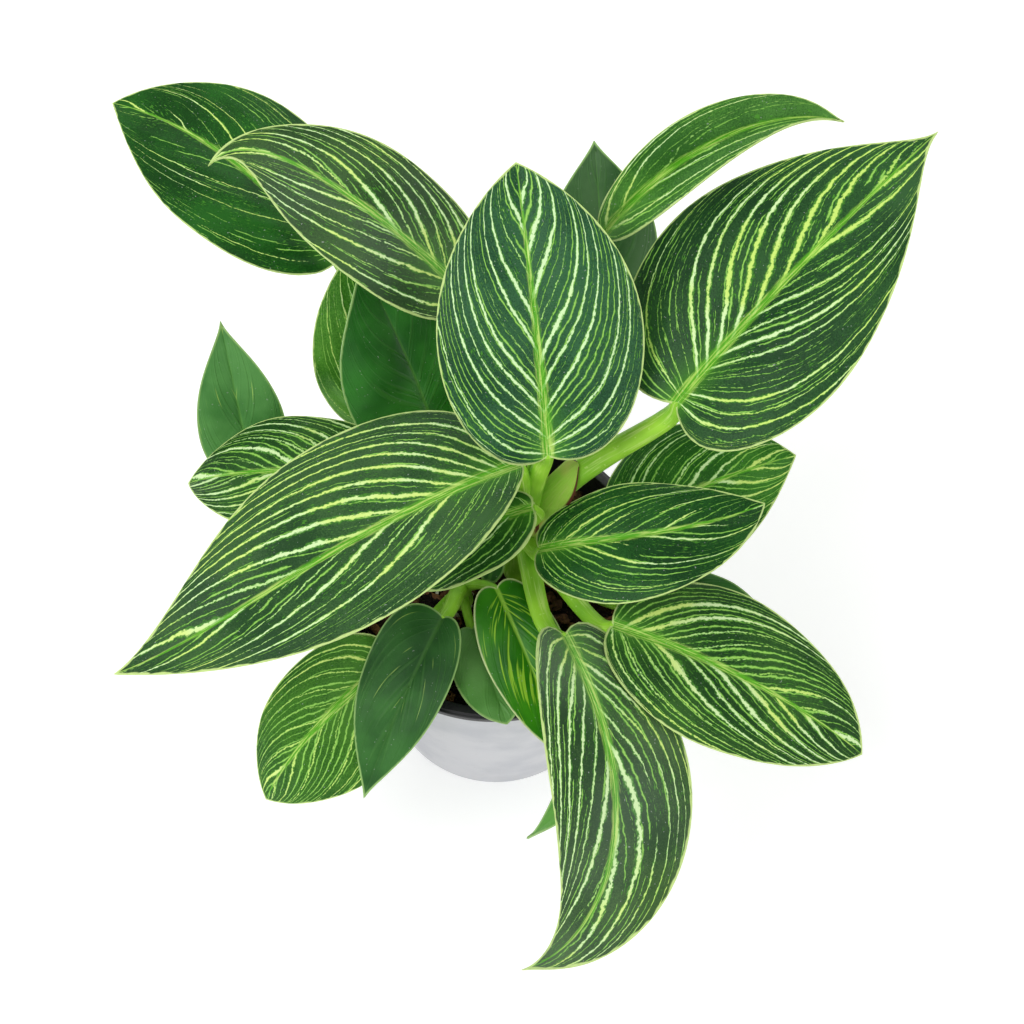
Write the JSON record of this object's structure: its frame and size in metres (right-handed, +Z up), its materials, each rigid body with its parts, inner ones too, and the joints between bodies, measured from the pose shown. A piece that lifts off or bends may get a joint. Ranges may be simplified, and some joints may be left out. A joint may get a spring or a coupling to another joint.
{
  "type": "potted philodendron",
  "caption": "Bushy pin-striped philodendron with broad pointed leaves on fleshy stalks, growing in a dark nursery pot that stands inside a pale tapered cover pot.",
  "frame": {"origin": "centre of the cover pot's flat base, on the surface that it stands on", "axes": "+Z up along the pots' axis; -Y is the side seen in front; +X to its right"},
  "size_m": [0.2991, 0.3161, 0.2552],
  "materials": {
    "cover_pot": "smooth pale grey-white plastic, soft sheen",
    "nursery_pot": "thin black nursery plastic, satin",
    "soil": "rough dark potting mix with bark chips",
    "stem": "fleshy yellow-green, soft sheen",
    "striped_leaf": "dark green blade with fine pale yellow-green stripes, soft sheen",
    "plain_leaf": "plain dark green blade, soft sheen",
    "bright_leaf": "fresh green young blade, few stripes"
  },
  "bodies": {
    "root": {"cover_pot": "cover_pot", "nursery_pot": "nursery_pot", "soil": "soil", "main_stem": "stem", "side_stem": "stem", "leaf_centre": "striped_leaf", "leaf_right": "striped_leaf", "leaf_left": "striped_leaf", "leaf_upper_left": "striped_leaf", "leaf_far_left": "striped_leaf", "leaf_back_left_striped": "striped_leaf", "leaf_left_striped": "striped_leaf", "leaf_under_left": "striped_leaf", "leaf_mid_right": "striped_leaf", "leaf_right_behind": "striped_leaf", "leaf_lower_right": "striped_leaf", "leaf_front": "striped_leaf", "leaf_front_left_striped": "striped_leaf", "leaf_far_right": "striped_leaf", "leaf_back_left_plain": "plain_leaf", "leaf_left_plain": "plain_leaf", "leaf_right_low": "plain_leaf", "leaf_front_hidden": "plain_leaf", "leaf_front_left_plain": "plain_leaf", "leaf_front_small": "plain_leaf", "leaf_bud": "plain_leaf", "leaf_back_plain": "plain_leaf", "leaf_front_bright": "bright_leaf"}
  },
  "joints": []
}
